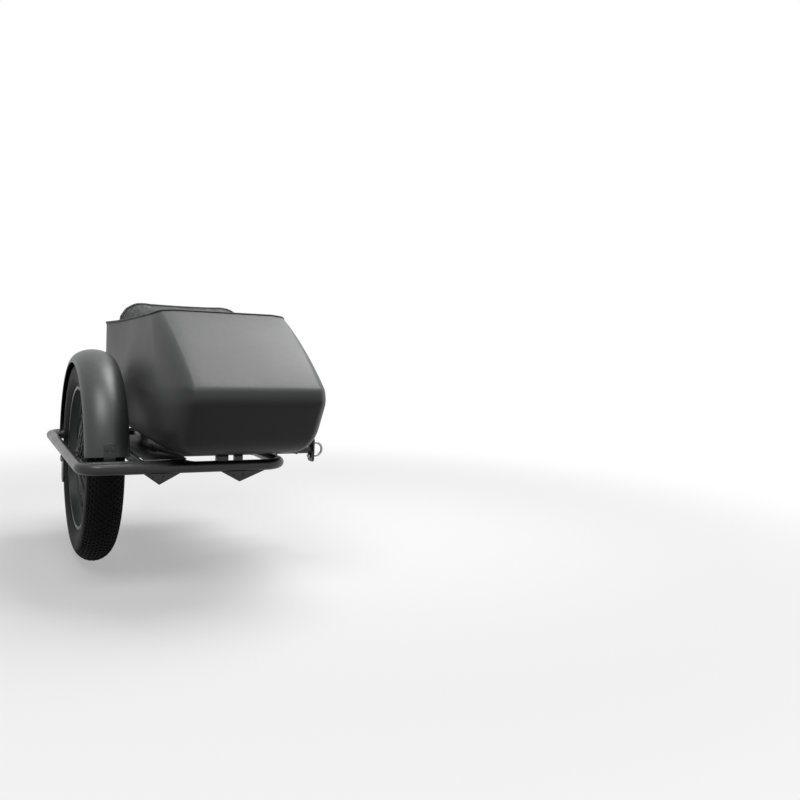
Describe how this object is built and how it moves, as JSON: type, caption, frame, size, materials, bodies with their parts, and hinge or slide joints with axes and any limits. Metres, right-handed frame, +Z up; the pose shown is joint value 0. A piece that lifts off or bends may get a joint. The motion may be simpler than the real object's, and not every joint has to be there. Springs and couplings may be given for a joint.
{
  "type": "bicycle sidecar",
  "caption": "One-wheel bicycle sidecar: moulded open body with a seat on a bent tube frame, a fat spoked wheel under a fender, and a leaning hitch to the bicycle's axle.",
  "frame": {"origin": "on the outer face of the hitch's axle plate, in line with the lean pivot, where the plate lies against the bicycle's rear axle nut", "axes": "+X out of the axle plate towards the bicycle, +Z up, -Y towards the front of the sidecar; the wheel's axle runs along X"},
  "size_m": [0.7766, 0.9699, 0.7571],
  "materials": {
    "frame": "satin black powder coat",
    "body": "satin charcoal paint on a moulded shell",
    "fender": "satin black moulded plastic",
    "rim": "black anodised",
    "alloy": "machined",
    "steel": "dark zinc plate",
    "tyre": "matt",
    "rubber": "matt",
    "vinyl": "grained vinyl with a soft sheen",
    "board": "black-stained plywood"
  },
  "bodies": {
    "chassis": {"front_bumper_tube": "frame", "rear_bumper_tube": "frame", "body_rail": "frame", "front_inner_tube": "frame", "rear_inner_tube": "frame", "wheel_rail": "frame", "stub_tube_front": "frame", "cross_tube_front": "frame", "stub_tube_rear": "frame", "cross_tube_rear": "frame", "step_plate": "frame", "floor_plate": "frame", "outer_dropout": "frame", "inner_dropout": "frame", "front_lug_outer": "frame", "front_lug_inner": "frame", "body_mount_1": "frame", "body_pad_1": "rubber", "body_mount_2": "frame", "body_pad_2": "rubber", "body_mount_3": "frame", "body_pad_3": "rubber", "body_mount_4": "frame", "body_pad_4": "rubber", "body_shell": "body", "cockpit_trim": "rubber", "floor_mat": "rubber", "seat_bearer_outer": "frame", "seat_bearer_inner": "frame", "seat_board": "board", "seat_cushion": "vinyl", "backrest_cushion": "vinyl", "backrest_board": "board", "backrest_bracket_outer": "frame", "backrest_bracket_inner": "frame", "fender": "fender", "fender_bracket_front": "frame", "fender_bracket_rear": "frame", "fender_stay": "frame", "axle": "steel", "axle_nut_outer": "steel", "axle_spacer_outer": "alloy", "axle_nut_inner": "steel", "axle_spacer_inner": "alloy", "clevis_front": "frame", "hitch_pin_front": "steel", "clevis_rear": "frame", "hitch_pin_rear": "steel"},
    "wheel": {"tyre": "tyre", "inner_tube": "rubber", "rim": "rim", "hub_and_spokes": "steel", "bearing_outer": "steel", "bearing_inner": "steel", "valve": "steel"},
    "hitch": {"hitch_yoke": "frame", "axle_plate": "frame", "clamp_plate": "frame", "stay_u_bolt": "steel"}
  },
  "joints": [
    {"name": "wheel_spin", "type": "hinge", "parent": "chassis", "child": "wheel", "pos_m": [-0.648, -0.04, -0.026], "axis": [1, 0, 0], "continuous": true},
    {"name": "hitch_lean", "type": "hinge", "parent": "chassis", "child": "hitch", "pos_m": [-0.14, -0.04, 0], "axis": [0, 1, 0], "range_deg": [-15, 15]}
  ]
}
